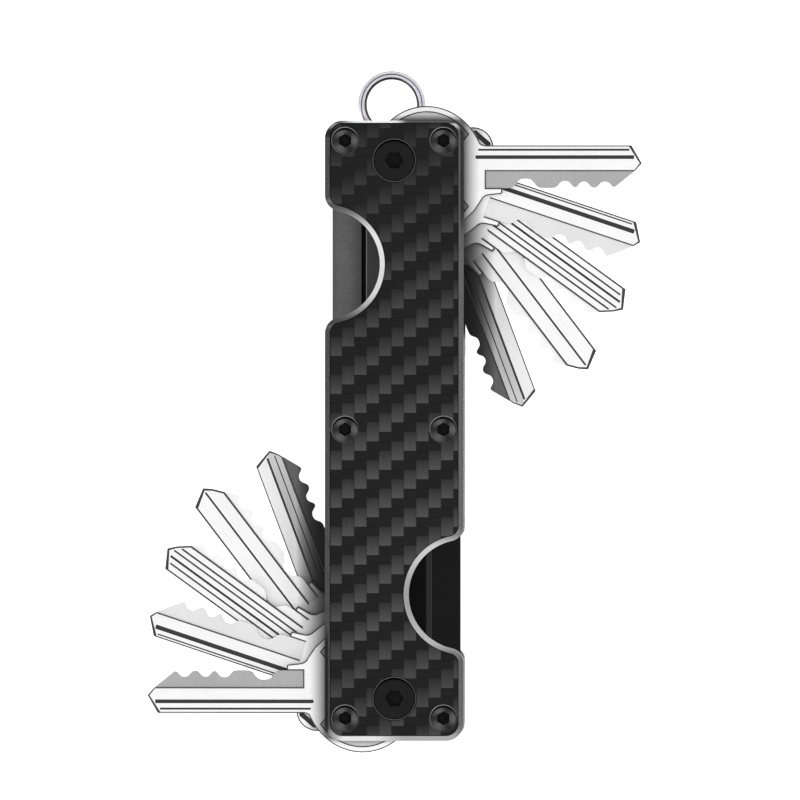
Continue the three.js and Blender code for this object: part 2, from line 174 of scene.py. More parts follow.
def shrunk(points, distance):
    """The closed outline moved inwards (it runs anticlockwise) by distance."""
    out = []
    count = len(points)
    for i, (x, y) in enumerate(points):
        ax, ay = points[i - 1]
        bx, by = points[(i + 1) % count]
        d1 = Vector((x - ax, y - ay)).normalized()
        d2 = Vector((bx - x, by - y)).normalized()
        normal = Vector((-(d1.y + d2.y), d1.x + d2.x))
        normal.normalize()
        stretch = 1 / max(0.5, normal.dot(Vector((-d1.y, d1.x))))
        out.append((x + normal.x * distance * stretch, y + normal.y * distance * stretch))
    return out


# ---- mesh building
class Shell:
    """One closed mesh made from rings of points, the walls between them and the caps that close them."""

    def __init__(self):
        self.bm = bmesh.new()

    def ring(self, points, z):
        return [self.bm.verts.new((x * MM, y * MM, z * MM)) for x, y in points]

    def wall(self, low, high, slot=0):
        count = len(low)
        for i in range(count):
            j = (i + 1) % count
            face = self.bm.faces.new((low[i], low[j], high[j], high[i]))
            face.material_index = slot
            face.smooth = True

    def walls(self, rings, slot=0):
        for low, high in zip(rings, rings[1:]):
            self.wall(low, high, slot)

    def cap(self, loops, slot=0):
        flat = [v for loop in loops for v in loop]
        for a, b, c in tessellate_polygon([[v.co for v in loop] for loop in loops]):
            if len({a, b, c}) == 3:
                self.bm.faces.new((flat[a], flat[b], flat[c])).material_index = slot

    def tube(self, points, z_low, z_high):
        low = self.ring(points, z_low)
        high = self.ring(points, z_high)
        self.wall(low, high)
        return low, high

    def close(self, rings, bores, top_slot=0):
        """Caps the lowest and the highest ring, open where the bores come out."""
        self.cap([rings[0]] + [low for low, high in bores])
        self.cap([rings[-1]] + [high for low, high in bores], top_slot)

    def piece(self, name, materials, sharp, place=(0, 0, 0), flip=False, spin=None):
        """The finished object. Edges steeper than sharp degrees stay hard, flip turns it over about Y, and
        spin turns a key about its hole, with the unturned places kept as a map for its brushed lines."""
        bmesh.ops.recalc_face_normals(self.bm, faces=self.bm.faces)
        if flip:
            for v in self.bm.verts:
                v.co = Vector((-v.co.x, v.co.y, -v.co.z))
        if spin is not None:
            local = self.bm.loops.layers.uv.new("local")
            for face in self.bm.faces:
                for loop in face.loops:
                    loop[local].uv = loop.vert.co.xy
            bmesh.ops.rotate(self.bm, verts=self.bm.verts, matrix=Matrix.Rotation(spin, 3, "Z"))
        mesh = bpy.data.meshes.new(name)
        self.bm.to_mesh(mesh)
        self.bm.free()
        mesh.set_sharp_from_angle(angle=math.radians(sharp))
        for material in materials:
            mesh.materials.append(material)
        obj = put(name, mesh)
        obj.location = Vector(place) * MM
        return obj


def install(obj, node, body="housing"):
    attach(obj, body)
    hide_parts(node)


# ---- material helpers
class Wiring:
    """Short ways to make and join the nodes of one tree."""

    def __init__(self, tree):
        self.nodes = tree.nodes
        self.links = tree.links

    def node(self, kind, **values):
        node = self.nodes.new("ShaderNode" + kind)
        for key, value in values.items():
            setattr(node, key, value)
        return node

    def link(self, value, socket):
        if isinstance(value, (int, float, tuple)):
            socket.default_value = value
        else:
            self.links.new(value, socket)

    def product(self, first, *others):
        for other in others:
            first = self.math("MULTIPLY", first, other)
        return first

    def length(self, x, y):
        return self.math("SQRT", self.math("ADD", self.product(x, x), self.product(y, y)))

    def place(self):
        return self.node("TexCoord").outputs["Object"]

    def axes(self, vector):
        split = self.node("SeparateXYZ")
        self.links.new(vector, split.inputs[0])
        return split.outputs

    def math(self, operation, a, b=0.0, c=0.0, clamp=False):
        node = self.node("Math", operation=operation, use_clamp=clamp)
        for value, socket in zip((a, b, c), node.inputs):
            self.link(value, socket)
        return node.outputs[0]

    def less_from_one(self, value):
        return self.math("SUBTRACT", 1.0, value)

    def size(self, value):
        return self.math("ABSOLUTE", value)

    def either(self, share, first, second):
        """first where share is 1, second where it is 0."""
        return self.math("ADD", self.product(first, share), self.product(second, self.less_from_one(share)))

    def changed(self, base, mask, change):
        """base, made larger by the part change of it where mask is 1."""
        return self.product(base, self.math("MULTIPLY_ADD", mask, change, 1.0))

    def span(self, value, low, high, to_low=0.0, to_high=1.0, kind="LINEAR"):
        """value carried from low..high to to_low..to_high, and held there beyond."""
        node = self.node("MapRange", interpolation_type=kind)
        sockets = ("Value", "From Min", "From Max", "To Min", "To Max")
        for v, name in zip((value, low, high, to_low, to_high), sockets):
            self.link(v, node.inputs[name])
        return node.outputs[0]

    def spread(self, noise, low, high):
        """noise carried from its usual range to low..high."""
        return self.span(noise, 0.3, 0.7, low, high)

    def ease(self, *span):
        return self.span(*span, kind="SMOOTHSTEP")

    def span_mm(self, value, low, high, *ends):
        return self.span(value, low * MM, high * MM, *ends)

    def ease_mm(self, value, low, high, *ends):
        return self.ease(value, low * MM, high * MM, *ends)

    def noise(self, vector, scale, detail, roughness=0.55, stretch=None):
        if stretch:
            mapping = self.node("Mapping")
            mapping.inputs["Scale"].default_value = stretch
            self.links.new(vector, mapping.inputs["Vector"])
            vector = mapping.outputs[0]
        node = self.node("TexNoise")
        sockets = ("Scale", "Detail", "Roughness", "Vector")
        for value, name in zip((scale, detail, roughness, vector), sockets):
            self.link(value, node.inputs[name])
        return node.outputs["Fac"]

    def tinted(self, color, tint):
        node = self.node("Mix", data_type="RGBA", blend_type="MULTIPLY")
        for value, socket in zip((1.0, color, (*tint, 1)), (node.inputs[0], node.inputs[6], node.inputs[7])):
            self.link(value, socket)
        return node.outputs[2]

    def grey(self, value):
        node = self.node("CombineColor")
        for socket in node.inputs:
            self.link(value, socket)
        return node.outputs[0]


class Paint(Wiring):
    """A node material with one Principled shader."""

    def __init__(self, name, color=(0.5, 0.5, 0.5), roughness=0.5, metallic=0.0, specular=0.5):
        self.material = bpy.data.materials.new(name)
        self.material.use_nodes = True
        super().__init__(self.material.node_tree)
        self.shader = self.nodes["Principled BSDF"]
        self.set("Base Color", (*color, 1))
        self.set("Roughness", roughness)
        self.set("Metallic", metallic)
        self.set("Specular IOR Level", specular)

    def set(self, socket, value):
        self.shader.inputs[socket].default_value = value

    def wire(self, socket, value):
        self.links.new(value, self.shader.inputs[socket])

    def tone(self, value):
        self.wire("Base Color", self.grey(value))

    def rough(self, noise, low, high):
        self.wire("Roughness", self.spread(noise, low, high))

    def bump(self, height, strength, distance_mm):
        node = self.node("Bump")
        node.inputs["Strength"].default_value = strength
        node.inputs["Distance"].default_value = distance_mm * MM
        self.links.new(height, node.inputs["Height"])
        self.links.new(node.outputs[0], self.shader.inputs["Normal"])


# ---- carbon fibre
TOW_WIDTH = 2.232
WEAVE_REPEAT = 6.833
TOW_PHASE_X = -0.5
TOW_PHASE_Y = 1.29


def carbon_material():
    """Two-by-two twill: upright tows float over two crossing ones, each a quarter repeat above the last."""
    paint = Paint("carbon_twill", roughness=0.45, specular=0.06)
    x, y, z = paint.axes(paint.place())
    across = paint.math("DIVIDE", paint.math("SUBTRACT", x, TOW_PHASE_X * MM), TOW_WIDTH * MM)
    column = paint.math("FLOOR", across)
    in_column = paint.math("FRACT", across)
    rise = paint.math("DIVIDE", paint.math("SUBTRACT", y, TOW_PHASE_Y * MM), WEAVE_REPEAT * MM)
    along = paint.math("FRACT", paint.math("SUBTRACT", rise, paint.product(column, 0.25)))
    upright = paint.math("LESS_THAN", along, 0.5)
    # painted sheen: brightness along an upright float, brightest at its lower end
    painted_float_sheen = paint.span(along, 0.0, 0.5, 0.060, 0.021)
    edge = paint.size(paint.math("SUBTRACT", in_column, 0.5))
    # painted shade: each upright tow darkens towards its sides, which its bump also rounds
    rounded = paint.ease(edge, 0.40, 0.5, 1.0, 0.72)
    # crossing tows: two bands a repeat, each faintly crowned, with painted shade towards its edges
    band = paint.math("FRACT", paint.product(rise, 4.0))
    off_middle = paint.size(paint.math("SUBTRACT", band, 0.5))
    crown = paint.ease(off_middle, 0.30, 0.5, 1.0, 0.82)
    fibres_up = paint.noise(paint.place(), 1.0, 2.0, stretch=(9000, 260, 1))
    fibres_across = paint.noise(paint.place(), 1.0, 2.0, stretch=(260, 9000, 1))
    light = paint.product(painted_float_sheen, rounded, paint.spread(fibres_up, 0.86, 1.14))
    dark = paint.product(0.0135, crown, paint.spread(fibres_across, 0.85, 1.15))
    # painted sheen: the upright tows are painted brightest over the lower half and dimmest towards the upper
    # end
    painted_gleam = paint.product(paint.ease_mm(y, -48.0, -38.0, 1.05, 1.34),
                          paint.ease_mm(y, -4.0, 16.0, 1.0, 0.8),
                          paint.ease_mm(y, 20.0, 52.0, 1.0, 0.55))
    light = paint.product(light, painted_gleam)
    paint.tone(paint.either(upright, light, dark))
    swell = paint.product(upright, rounded, paint.span(along, 0.0, 0.5, 1.0, 0.6))
    height = paint.math("ADD", swell, paint.product(crown, 0.4))
    paint.rough(fibres_up, 0.36, 0.5)
    paint.bump(height, 0.25, 0.03)
    return paint.material


# ---- metals
def frame_material():
    """Satin anodised plate, with painted highlights and shade along its rim and round the thumb notches."""
    paint = Paint("frame_satin", metallic=1.0, roughness=0.34, specular=0.2)
    place = paint.place()
    grain = paint.noise(place, 1.0, 3.0, stretch=(1500, 4000, 2500))
    cloud = paint.noise(place, 180, 2.0)
    base = paint.product(paint.spread(grain, 0.39, 0.43), paint.spread(cloud, 0.95, 1.04))
    x, y, z = paint.axes(place)
    # painted shade: the plate darkens towards its right edge
    base = paint.product(base, paint.span_mm(x, 10.0, 12.0, 1.0, 0.62))
    # painted shadow: the outer half of the rim is painted dark where it stands over a fan
    outwards = paint.product(x, paint.math("SIGN", y))
    painted_fan_shadow = paint.product(paint.span_mm(outwards, HALF_WIDTH - 0.75, HALF_WIDTH - 0.5),
                             paint.ease_mm(paint.size(y), 34.0, 39.0))
    base = paint.changed(base, painted_fan_shadow, -0.7)
    # painted highlight: the rear plate's outer side walls are painted brighter
    height = paint.axes(paint.node("NewGeometry").outputs["Position"])[2]
    outer = paint.span_mm(paint.size(x), HALF_WIDTH - 0.2, HALF_WIDTH - 0.1)
    wall = paint.product(outer, paint.math("LESS_THAN", height, REAR_PLATE_TOP_Z * MM))
    base = paint.changed(base, wall, 2.8)
    # the upper left corner is turned away from the light
    corner = paint.product(paint.ease_mm(y, TOP_EDGE - 3.4, TOP_EDGE - 2.4), paint.math("LESS_THAN", x, 0.0))
    base = paint.changed(base, corner, -0.6)
    # painted highlight: the bottom edge is painted brighter over its left half
    bottom = paint.span_mm(y, BOTTOM_EDGE + 0.75, BOTTOM_EDGE + 0.95, 1.0, 0.0)
    bottom_highlight_stretch = paint.product(paint.ease_mm(x, -11.0, -9.0), paint.ease_mm(x, -4.0, 2.0, 1.0, 0.0))
    base = paint.changed(base, paint.product(bottom, bottom_highlight_stretch), 0.9)
    # distance from the nearer notch centre: the two are each other's half-turn images
    side = paint.math("SIGN", y)
    dx = paint.math("ADD", paint.product(x, side), HALF_WIDTH * MM)
    dy = paint.math("SUBTRACT", paint.size(y), NOTCH_Y * MM)
    from_notch = paint.length(dx, dy)
    near = paint.ease_mm(from_notch, NOTCH_RADIUS + 1.0, NOTCH_RADIUS + 1.9, 1.0, 0.0)
    height = paint.size(dy)
    # painted highlight: the notch chamfers are painted bright, each by its own curve along the notch
    left_notch_highlight = paint.ease_mm(height, 4.5, 10.6, 0.84, 0.08)
    right_notch_highlight = paint.product(paint.ease_mm(height, 1.0, 8.0, 0.36, 0.56),
                              paint.ease_mm(height, 8.5, 11.2, 1.0, 0.32))
    on_left = paint.math("LESS_THAN", x, 0.0)
    notch_highlight = paint.either(on_left, left_notch_highlight, right_notch_highlight)
    # painted shade and highlight: the top edge is painted dark but for a painted highlight over a stretch
    # over the ring
    top = paint.span_mm(y, TOP_EDGE - 0.56, TOP_EDGE - 0.46)
    top_highlight_stretch = paint.product(paint.ease_mm(x, -10.5, -6.0), paint.ease_mm(x, 0.0, 2.5, 1.0, 0.0))
    edge = paint.span(top_highlight_stretch, 0.0, 1.0, 0.03, 0.95)
    special = paint.math("MAXIMUM", near, top)
    value = paint.math("ADD", paint.product(notch_highlight, near), paint.product(edge, top))
    plain = paint.product(base, paint.less_from_one(special))
    paint.tone(paint.math("ADD", plain, value))
    paint.wire("Metallic", paint.less_from_one(paint.product(special, 0.95)))
    paint.rough(grain, 0.17, 0.25)
    paint.bump(grain, 0.03, 0.01)
    return paint.material


def recess_material():
    """The floor that a cover is bedded on, painted near black as the shade in the gap round the cover."""
    paint = Paint("frame_recess", roughness=0.7, specular=0.05)
    grain = paint.noise(paint.place(), 1800, 3.0)
    paint.tone(paint.spread(grain, 0.012, 0.024))
    paint.bump(grain, 0.2, 0.02)
    return paint.material


def liner_material(name, left, right, fine_low=0.75, fine_high=1.3):
    """Grained plate with painted shade, paler on its left side than on its right."""
    paint = Paint(name, roughness=0.6, specular=0.08)
    place = paint.place()
    x, y, z = paint.axes(place)
    fine = paint.noise(place, 5200, 3.0, roughness=0.7)
    broad = paint.noise(place, 300, 2.0)
    tone = paint.span_mm(x, -2.0, 2.0, left, right)
    grain = paint.product(paint.span(fine, 0.25, 0.75, fine_low, fine_high),
                          paint.spread(broad, 0.92, 1.06))
    # painted shade: the left land darkens towards the rib and towards its outer edge
    painted_land_shade = paint.product(paint.ease_mm(x, -9.0, -6.0, 1.0, 0.6), paint.ease_mm(x, -11.6, -10.4, 0.8, 1.0))
    paint.tone(paint.product(tone, grain, painted_land_shade))
    paint.rough(fine, 0.5, 0.68)
    paint.bump(fine, 0.35, 0.02)
    return paint.material


def turned_material(name, base_low, base_high, roughness, pitch_mm, metallic=0.85, sheen_wedges=0.0, hood=None,
                    specular=0.12):
    """Black steel with fine turning rings round its own axis, and three faint wedges of painted sheen.
    hood is (drop, radius): the face outside that circle, moved down by drop, lies in the bore's shade."""
    paint = Paint(name, metallic=metallic, roughness=roughness, specular=specular)
    paint.set("Anisotropic", 0.7)
    place = paint.place()
    x, y, z = paint.axes(place)
    radius = paint.length(x, y)
    rings = paint.math("SINE", paint.product(radius, TURN / (pitch_mm * MM)))
    grain = paint.noise(place, 2600, 3.0)
    turning = paint.math("ADD", paint.product(rings, 0.35), grain)
    base = paint.span(turning, 0.0, 1.0, base_low, base_high)
    if sheen_wedges:
        angle = paint.product(paint.math("ARCTAN2", y, x), 3.0)
        base = paint.changed(base, paint.math("COSINE", angle), sheen_wedges)
    if hood:
        drop, reach = hood
        lowered = paint.math("ADD", y, drop * MM)
        out = paint.length(x, lowered)
        hooded = paint.span_mm(out, reach - 0.08, reach + 0.08, 1.0, 0.04)
        base = paint.product(base, hooded)
    paint.tone(base)
    paint.rough(grain, roughness - 0.06, roughness + 0.08)
    tangent = paint.node("Tangent", direction_type="RADIAL", axis="Z")
    paint.wire("Tangent", tangent.outputs[0])
    paint.bump(paint.math("ADD", rings, grain), 0.12, 0.01)
    return paint.material


# painted shade: the hex sockets are painted near black, darker than the heads round them
def socket_material():
    paint = Paint("socket_painted_shade", roughness=0.6, specular=0.02)
    grain = paint.noise(paint.place(), 3000, 2.0)
    paint.tone(paint.spread(grain, 0.005, 0.011))
    return paint.material


def body_shade(paint):
    """The soft contact shade: 1 in the open, falling towards the body, and wider the deeper a key lies."""
    x, y, z = paint.axes(paint.node("NewGeometry").outputs["Position"])
    out_x = paint.math("MAXIMUM", paint.math("SUBTRACT", paint.size(x), HALF_WIDTH * MM), 0.0)
    past_end = paint.math("MAXIMUM", paint.math("SUBTRACT", paint.size(y), TOP_EDGE * MM), 0.0)
    # the shade is narrower past the body's ends
    out_y = paint.product(past_end, 2.6)
    out = paint.length(out_x, out_y)
    depth = paint.span_mm(z, FRONT_PLATE_Z, FRONT_PLATE_Z - 10.0, 0.0, 10.0)
    deep = paint.product(depth, depth)
    width = paint.math("MULTIPLY_ADD", depth, 0.5 * MM, 2.6 * MM)
    width = paint.math("SUBTRACT", width, paint.product(deep, 0.02 * MM))
    power = paint.math("MULTIPLY_ADD", deep, 0.022, 0.85)
    least = paint.math("MULTIPLY_ADD", depth, -0.016, 0.16)
    rise = paint.math("POWER", paint.math("DIVIDE", out, width, clamp=True), power)
    # 1 in the open and least against the body
    return paint.math("ADD", least, paint.product(rise, paint.less_from_one(least)))


def nickel_material(name, low, high, roughness, stretch, bump=0.05, metallic=0.45, shade=False, on_blade=True,
                    bands=None):
    """Plated face with the faint lines it was brushed in, which follow the blade on a key.
    bands is (upper edge, lower edge) of a stretch of the blade painted dark as shade, which brightens towards
    the tip."""
    paint = Paint(name, metallic=metallic, roughness=roughness)
    place = paint.node("TexCoord").outputs["UV"] if on_blade else paint.place()
    brushed = paint.noise(place, 1.0, 3.0, stretch=stretch)
    fine = paint.noise(place, 5200, 3.0, roughness=0.75)
    cloud = paint.noise(place, 140, 2.0)
    mixed = paint.math("ADD", paint.product(brushed, 0.3), paint.product(fine, 0.7))
    base = paint.product(paint.spread(mixed, low, high), paint.spread(cloud, 0.97, 1.02))
    if bands:
        along, across, up = paint.axes(place)
        upper, lower = bands
        # painted shade: the band is painted dark and the rest of the face dimmer, both less so towards the
        # tip
        shaded_band = paint.product(paint.span_mm(across, upper - 0.1, upper + 0.1, 1.0, 0.0),
                             paint.span_mm(across, lower + 0.1, lower + 0.3))
        face_shade = paint.span_mm(along, 16.0, 42.0, 0.62, 0.93)
        band_shade = paint.span_mm(along, 16.0, 48.0, 0.14, 0.66)
        base = paint.product(base, paint.either(shaded_band, band_shade, face_shade))
    if shade:
        base = paint.product(base, body_shade(paint))
    paint.tone(base)
    paint.rough(mixed, roughness - 0.05, roughness + 0.08)
    paint.bump(mixed, bump, 0.015)
    return paint.material


def ring_material(name, low, high, roughness, tint):
    paint = Paint(name, metallic=1.0, roughness=roughness)
    scratches = paint.noise(paint.place(), 1.0, 3.0, stretch=(700, 700, 5200))
    base = paint.spread(scratches, low, high)
    paint.wire("Base Color", paint.tinted(paint.grey(base), tint))
    paint.rough(scratches, roughness - 0.06, roughness + 0.08)
    paint.bump(scratches, 0.06, 0.01)
    return paint.material


# Noise scales of the brushed lines, along, across and through a key; the lines run where it is smallest.
ALONG_BLADE = (300, 3600, 400)
ACROSS_BLADE = (3800, 500, 400)
IN_PANEL = (1800, 1800, 400)
DOWN_EDGE = (400, 4200, 400)
ON_WASHER = (900, 900, 5000)
# A stretch of painted shade on the deepest key's blade, as distances from the pivot hole's level.
SHADED_BAND = (6.46, 4.01)

CARBON = carbon_material()
FRAME_METAL = frame_material()
FRAME_RECESS = recess_material()
# Copies of one grained plate for painted light and shade: each face is painted its own brightness left and
# right of the rib, and the rib's top edge and its foot carry painted highlights.
LINER = liner_material("liner_grain", 0.17, 0.019)
LINER_SLOPE = liner_material("liner_slope", 0.0, 0.06, 0.95, 1.05)
LINER_RIB = liner_material("liner_rib", 0.11, 0.004, 0.95, 1.05)
LINER_RIB_EDGE_HIGHLIGHT = liner_material("liner_rib_edge_highlight", 0.4, 0.004, 0.95, 1.05)
LINER_FOOT_HIGHLIGHT = liner_material("liner_foot_highlight", 0.002, 0.12, 0.95, 1.05)
COVER_SCREW = turned_material("cover_screw_turned", 0.05, 0.075, 0.36, 0.09, sheen_wedges=0.6, hood=(0.42, 2.3))
# painted highlight: the counterbore chamfers in the carbon take a pale turned-steel finish
BORE_EDGE_HIGHLIGHT = turned_material("bore_edge_highlight", 0.30, 0.36, 0.26, 0.2)
PIVOT_STEEL = turned_material("pivot_black", 0.008, 0.026, 0.45, 0.28, metallic=0.2, hood=(0.3, 3.68),
                              specular=0.0)
# painted highlight: the pivot heads' raised rims take a paler copy of the black steel
PIVOT_RIM_HIGHLIGHT = turned_material("pivot_rim_highlight", 0.13, 0.17, 0.34, 0.5)
SOCKET = socket_material()
KEY_FACE = nickel_material("key_nickel", 0.90, 1.0, 0.30, ALONG_BLADE, shade=True)
KEY_FACE_BANDED = nickel_material("key_banded", 0.90, 1.0, 0.30, ALONG_BLADE, shade=True, bands=SHADED_BAND)
# The milled strips come in four tones; the darkest, on the deepest key, is painted shade.
KEY_MILLED, KEY_MILLED_SHADED, KEY_MILLED_PALE, KEY_MILLED_WHITE = (
    nickel_material(name, low, high, roughness, ACROSS_BLADE, bump=0.12, shade=True)
    for name, low, high, roughness in (
        ("key_milled", 0.36, 0.50, 0.45), ("key_milled_shaded", 0.10, 0.16, 0.45),
        ("key_milled_pale", 0.76, 0.84, 0.42), ("key_milled_white", 0.90, 1.0, 0.42))
)
KEY_PANEL = nickel_material("key_panel", 0.54, 0.68, 0.5, IN_PANEL, bump=0.15, shade=True)
# painted shade: the keys' bevels, grooves, slot and panel walls are painted near black, standing in for shade
# and painted dark reflection
KEY_EDGE_SHADE = nickel_material("key_edge_painted_dark", 0.02, 0.05, 0.5, DOWN_EDGE, metallic=0.2)
KEY_GROOVE_SHADE = nickel_material("key_groove_painted_dark", 0.02, 0.05, 0.5, DOWN_EDGE, metallic=0.1)
WASHER_STEEL = nickel_material("washer_ground", 0.50, 0.62, 0.3, ON_WASHER, metallic=0.9, on_blade=False)
RING_STEEL = ring_material("ring_polished", 0.66, 0.78, 0.16, (0.93, 0.91, 1.0))
RING_SHADE = ring_material("ring_painted_shade", 0.07, 0.12, 0.3, (1.0, 0.94, 0.96))


# ---- frames
# Cross-section of the rim from its lower outer edge round to the foot of the inner wall: (inset, height).
RIM_TOP = PLATE_THICKNESS + COVER_THICKNESS
RIM_SECTION = [
    (0.12, 0.0), (0.04, 0.03), (0.0, 0.12), (0.0, RIM_TOP - RIM_CHAMFER), (RIM_WIDTH, RIM_TOP),
    (RIM_WIDTH, PLATE_THICKNESS),
]


def frame_piece(name, hand):
    shell = Shell()
    rings = [shell.ring(body_outline(inset, hand), z) for inset, z in RIM_SECTION]
    shell.walls(rings)
    holes = [circle(x, y, COVER_HOLE_RADIUS, 24) for x, y in SCREW_PLACES]
    holes += [circle(0, y, PIVOT_HOLE_RADIUS) for y in PIVOTS.values()]
    bores = [shell.tube(hole, 0.0, PLATE_THICKNESS) for hole in holes]
    shell.close(rings, bores, 1)
    z = FRONT_PLATE_Z if hand > 0 else REAR_PLATE_TOP_Z
    return shell.piece(name, [FRAME_METAL, FRAME_RECESS], sharp=25, place=(0, 0, z), flip=hand < 0)


# ---- covers
def cover_piece(name, hand):
    shell = Shell()
    top = COVER_THICKNESS
    inset = RIM_WIDTH + COVER_GAP
    top_inset = TOP_RIM_WIDTH + COVER_GAP
    # the cover's edge is worn round at the top
    section = [(0.0, 0.0), (0.0, top - 0.08), (0.02, top - 0.02), (0.06, top)]
    rings = [shell.ring(body_outline(inset + extra, hand, top_inset + extra), z) for extra, z in section]
    shell.walls(rings)
    bores = []
    for x, y in SCREW_PLACES:
        seat = top - COUNTERBORE_DEPTH
        hole = circle(x, y, COVER_HOLE_RADIUS)
        foot, shoulder = shell.tube(hole, 0.0, seat)
        levels = [(0.0, seat), (0.0, top - COUNTERBORE_CHAMFER), (COUNTERBORE_CHAMFER_WIDTH, top)]
        bore = [shell.ring(circle(x, y, COUNTERBORE_RADIUS + wider), z) for wider, z in levels]
        shell.wall(shoulder, bore[0])
        shell.walls(bore[:2])
        shell.walls(bore[1:], slot=1)
        bores.append((foot, bore[-1]))
    for y in PIVOTS.values():
        levels = [(0.0, 0.0), (0.0, top - PIVOT_BORE_CHAMFER), (PIVOT_BORE_CHAMFER, top)]
        bore = [shell.ring(circle(0, y, PIVOT_BORE_RADIUS + wider, 72), z) for wider, z in levels]
        shell.walls(bore)
        bores.append((bore[0], bore[-1]))
    shell.close(rings, bores)
    z = FRONT_PLATE_Z + PLATE_THICKNESS if hand > 0 else REAR_PLATE_TOP_Z - PLATE_THICKNESS
    return shell.piece(name, [CARBON, BORE_EDGE_HIGHLIGHT], sharp=30, place=(0, 0, z), flip=hand < 0)


for side, hand in (("front", 1), ("rear", -1)):
    install(frame_piece(f"{side}_frame_fine", hand), f"{side}_frame")
    install(cover_piece(f"{side}_cover_fine", hand), f"{side}_cover")


# ---- rear liner with its rib
LINER_CHAMFER = 0.08
RIB_CORNER = 0.9
# The rib at its foot, at its slope's lower and upper ends and on top: (half width, half length).
RIB_HALVES = [(6.36, 39.0), (6.24, 38.9), (5.46, 38.25), (5.3, 38.1)]


def liner_piece():
    low, high = box_mm("rear_liner")
    sheet_top = box_mm("side_stop_left")[0][2]
    shell = Shell()
    inset = RIM_WIDTH
    section = [(0.0, low[2]), (0.0, sheet_top - LINER_CHAMFER), (LINER_CHAMFER, sheet_top)]
    rings = [shell.ring(body_outline(inset + extra, 0, inset + extra), z) for extra, z in section]
    shell.walls(rings)
    holes = [circle(0, y, PIVOT_HOLE_RADIUS) for y in PIVOTS.values()]
    bores = [shell.tube(hole, low[2], sheet_top) for hole in holes]

    def rib(half_width, half_length):
        q = TURN / 4
        x, y = half_width - RIB_CORNER, half_length - RIB_CORNER
        return (arc(x, -y, RIB_CORNER, -q, 0, 6) + arc(x, y, RIB_CORNER, 0, q, 6)
                + arc(-x, y, RIB_CORNER, q, 2 * q, 6) + arc(-x, -y, RIB_CORNER, 2 * q, 3 * q, 6))

    heights = [sheet_top, sheet_top + 0.06, high[2] - LINER_CHAMFER, high[2]]
    ribs = [shell.ring(rib(*halves), z) for halves, z in zip(RIB_HALVES, heights)]
    materials = [LINER, LINER_SLOPE, LINER_RIB, LINER_RIB_EDGE_HIGHLIGHT, LINER_FOOT_HIGHLIGHT]
    shell.walls(ribs[:2], slot=materials.index(LINER_FOOT_HIGHLIGHT))
    shell.walls(ribs[1:3], slot=materials.index(LINER_SLOPE))
    shell.walls(ribs[2:], slot=materials.index(LINER_RIB_EDGE_HIGHLIGHT))
    shell.cap([ribs[-1]], materials.index(LINER_RIB))
    shell.cap([rings[-1], ribs[0]] + [top for bottom, top in bores])
    shell.cap([rings[0]] + [bottom for bottom, top in bores])
    return shell.piece("rear_liner_fine", materials, sharp=30)


install(liner_piece(), "rear_liner")


# ---- turned pieces
def turned(name, profile, materials, place, flip=False, rim_from=None, socket=None):
    """A piece turned about Z from (radius, z) pairs. It starts and ends on the axis, or closes on itself.
    socket is (across flats, depth, direction of a corner) of a hex sunk in the face inside the last point.
    Walls further out than rim_from take the third material."""
    shell = Shell()
    rings = [shell.ring(circle(0, 0, radius, 64), z) for radius, z in profile]
    for i, (low, high) in enumerate(zip(rings, rings[1:])):
        on_rim = rim_from and min(profile[i][0], profile[i + 1][0]) > rim_from
        shell.wall(low, high, 2 if on_rim else 0)
    if socket:
        flats, depth, corner = socket
        mouth_z = profile[-1][1]
        lip = shell.ring(hexagon(flats + 0.08, corner), mouth_z)
        rim = shell.ring(hexagon(flats, corner), mouth_z - 0.05)
        floor = shell.ring(hexagon(flats, corner), mouth_z - depth)
        shell.cap([rings[-1], lip])
        shell.wall(lip, rim, 0)
        shell.wall(rim, floor, 1)
        shell.cap([floor], 1)
        shell.cap([rings[0]])
    else:
        shell.wall(rings[-1], rings[0])
    return shell.piece(name, materials, sharp=28, place=place, flip=flip)


# Hex sockets, as (across flats, depth, direction of a corner).
COVER_SCREW_SOCKET = (2.1, 0.75, TURN / 4)
PIVOT_SCREW_SOCKET = (2.8, 0.68, 0)
BARREL_SOCKET = (2.8, 1.3, 0)
# Cover screw, z = 0 at the head's underside: shank, rounded rim, dished face down to the hex.
COVER_SCREW_PROFILE = [
    (1.1, -1.27), (1.2, -1.2), (1.2, 0.0), (2.27, 0.0), (2.31, 0.04), (2.31, 0.38), (2.26, 0.42),
    (1.45, 0.24), (1.36, 0.225),
]
for i, (x, y) in enumerate(SCREW_PLACES, 1):
    for side, z, flip in (("front", THICKNESS - COUNTERBORE_DEPTH, False), ("rear", COUNTERBORE_DEPTH, True)):
        node = f"{side}_cover_screw_{i}"
        screw = turned(node + "_fine", COVER_SCREW_PROFILE, [COVER_SCREW, SOCKET], (x, y, z), flip,
                       socket=COVER_SCREW_SOCKET)
        install(screw, node)

PIVOT_HEAD = 3.98
HEAD_TOP = 0.85
SCREW_SHANK_RADIUS = 1.5
SCREW_SHANK_LENGTH = 9.0
BARREL_RADIUS = 2.4
BARREL_BORE_RADIUS = 1.7
BARREL_BORE_DEPTH = 13.0
